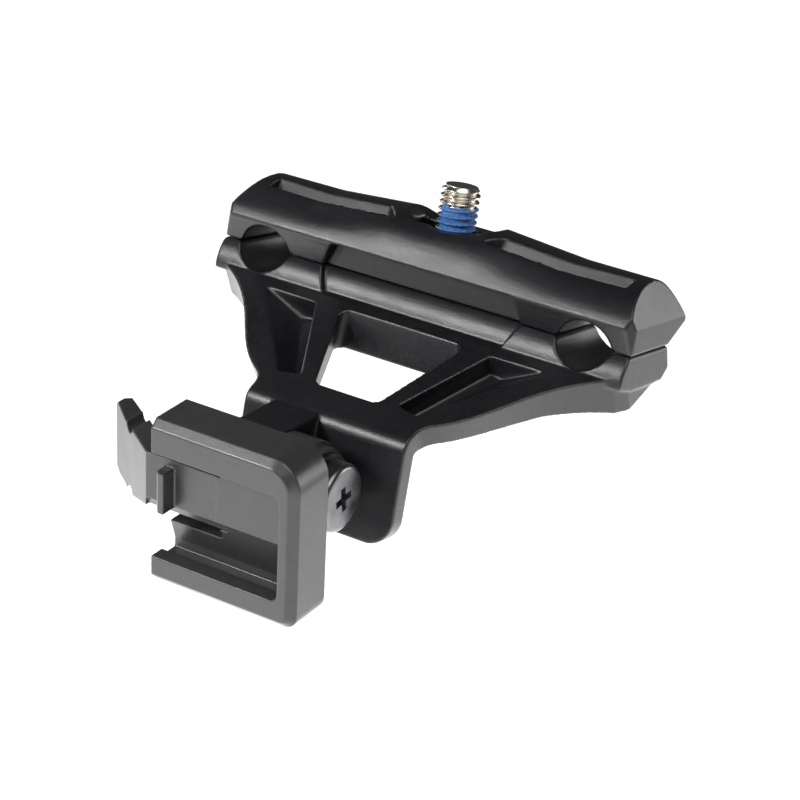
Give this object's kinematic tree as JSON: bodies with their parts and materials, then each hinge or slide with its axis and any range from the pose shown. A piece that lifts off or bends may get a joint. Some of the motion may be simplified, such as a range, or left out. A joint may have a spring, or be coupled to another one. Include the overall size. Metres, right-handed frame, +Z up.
{
  "type": "saddle rail light bracket",
  "caption": "Two-jaw clamp for a pair of saddle rails, with a truss arm, a tilting plate and a sprung latch for a clip-on light.",
  "frame": {"origin": "on the clamp bolt's axis, in the plane where the two jaws meet, midway between the two rail grooves", "axes": "+X along the clamp bar, +Y along the rails away from the light, +Z up along the clamp bolt towards its tip"},
  "size_m": [0.056, 0.0518, 0.0439],
  "materials": {
    "nylon": "moulded, glass filled",
    "plate_nylon": "satin",
    "bolt_steel": "nickel plated",
    "dark_steel": "black nickel plated",
    "blue_patch": "dry nylon film"
  },
  "bodies": {
    "lower_body": {"lower_body": "nylon", "clamp_washer": "bolt_steel", "pivot_screw": "dark_steel", "pivot_washer": "dark_steel", "pivot_nut": "dark_steel"},
    "clamp_bolt": {"clamp_bolt": "bolt_steel", "thread_lock_patch": "blue_patch"},
    "upper_jaw": {"upper_jaw": "nylon", "clamp_nut": "bolt_steel"},
    "light_plate": {"light_plate": "plate_nylon"},
    "latch_tongue": {"latch_tongue": "plate_nylon"}
  },
  "joints": [
    {"name": "bolt_turn", "type": "hinge", "parent": "lower_body", "child": "clamp_bolt", "pos_m": [0, 0, 0], "axis": [0, 0, 1], "range_deg": [-1080, 0]},
    {"name": "jaw_lift", "type": "slide", "parent": "lower_body", "child": "upper_jaw", "axis": [0, 0, 1], "range_m": [0, 0.0024]},
    {"name": "head_tilt", "type": "hinge", "parent": "lower_body", "child": "light_plate", "pos_m": [0, -0.0293, -0.0186], "axis": [1, 0, 0], "range_deg": [-45, 45]},
    {"name": "tongue_flex", "type": "hinge", "parent": "light_plate", "child": "latch_tongue", "pos_m": [-0.002, -0.03896, -0.02078], "axis": [0, -0.2198, 0.9755], "range_deg": [-20, 0], "stiffness_Nm_per_rad": 0.05}
  ],
  "couplings": [
    {"joint": "bolt_turn", "follows": "jaw_lift", "rad_per_m": -7854}
  ]
}
